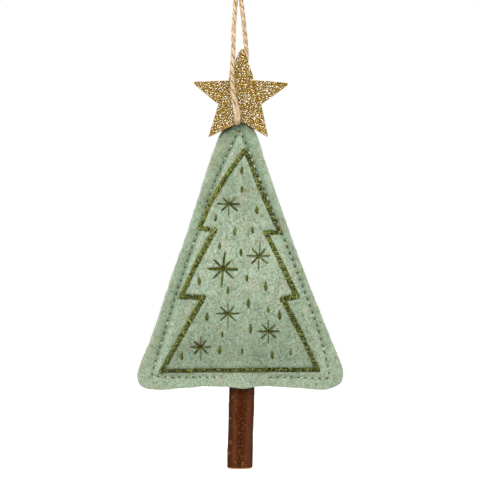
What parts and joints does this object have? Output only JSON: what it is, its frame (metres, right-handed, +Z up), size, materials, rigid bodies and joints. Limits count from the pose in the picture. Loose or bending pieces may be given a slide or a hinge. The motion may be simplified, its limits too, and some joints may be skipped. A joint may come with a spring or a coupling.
{
  "type": "hanging felt tree ornament",
  "caption": "Padded felt tree that hangs from a twine eye, with an embroidered front, a glitter star at its tip and a twig trunk.",
  "frame": {"origin": "inside the top of the twine eye, where a hook or branch takes it", "axes": "+Z up, +X to the right seen from the front; the embroidered front faces -Y"},
  "size_m": [0.0826, 0.0152, 0.2231],
  "materials": {
    "front_felt": "heathered sage felt",
    "back_felt": "heathered sage felt",
    "filling": "white fibre fill",
    "seam_thread": "pale sage thread",
    "embroidery_thread": "olive embroidery thread with a silky sheen",
    "star_sheet": "tan card",
    "glitter": "gold glitter flakes in clear binder",
    "glue": "clear hot-melt glue",
    "twig": "dark reddish-brown bark",
    "twine": "natural two-ply jute"
  },
  "bodies": {
    "eye": {"twine_hanging_eye": "twine"},
    "knot": {"twine_knot": "twine"},
    "ornament": {"front_felt": "front_felt", "back_felt": "back_felt", "fibre_filling": "filling", "seam_thread_front": "seam_thread", "seam_thread_back": "seam_thread", "tree_outline_embroidery": "embroidery_thread", "starburst_1": "embroidery_thread", "starburst_2": "embroidery_thread", "starburst_3": "embroidery_thread", "starburst_4": "embroidery_thread", "starburst_5": "embroidery_thread", "starburst_6": "embroidery_thread", "seed_stitch_01": "embroidery_thread", "seed_stitch_02": "embroidery_thread", "seed_stitch_03": "embroidery_thread", "seed_stitch_04": "embroidery_thread", "seed_stitch_05": "embroidery_thread", "seed_stitch_06": "embroidery_thread", "seed_stitch_07": "embroidery_thread", "seed_stitch_08": "embroidery_thread", "seed_stitch_09": "embroidery_thread", "seed_stitch_10": "embroidery_thread", "seed_stitch_11": "embroidery_thread", "seed_stitch_12": "embroidery_thread", "seed_stitch_13": "embroidery_thread", "seed_stitch_14": "embroidery_thread", "seed_stitch_15": "embroidery_thread", "seed_stitch_16": "embroidery_thread", "seed_stitch_17": "embroidery_thread", "seed_stitch_18": "embroidery_thread", "seed_stitch_19": "embroidery_thread", "seed_stitch_20": "embroidery_thread", "seed_stitch_21": "embroidery_thread", "seed_stitch_22": "embroidery_thread", "seed_stitch_23": "embroidery_thread", "trunk_stick": "twig", "trunk_glue": "glue", "star_base": "star_sheet", "star_glitter_coat": "glitter", "star_glue_dab": "glue", "twine_front_strand": "twine", "twine_rear_strand": "twine"}
  },
  "joints": [
    {"name": "swing_fore_aft", "type": "hinge", "parent": "eye", "child": "knot", "pos_m": [-0.0008, -0.0017, -0.0274], "axis": [1, 0, 0], "range_deg": [-60, 60]},
    {"name": "swing_sideways", "type": "hinge", "parent": "knot", "child": "ornament", "pos_m": [-0.0008, -0.0017, -0.0274], "axis": [0, 1, 0], "range_deg": [-60, 60]}
  ]
}
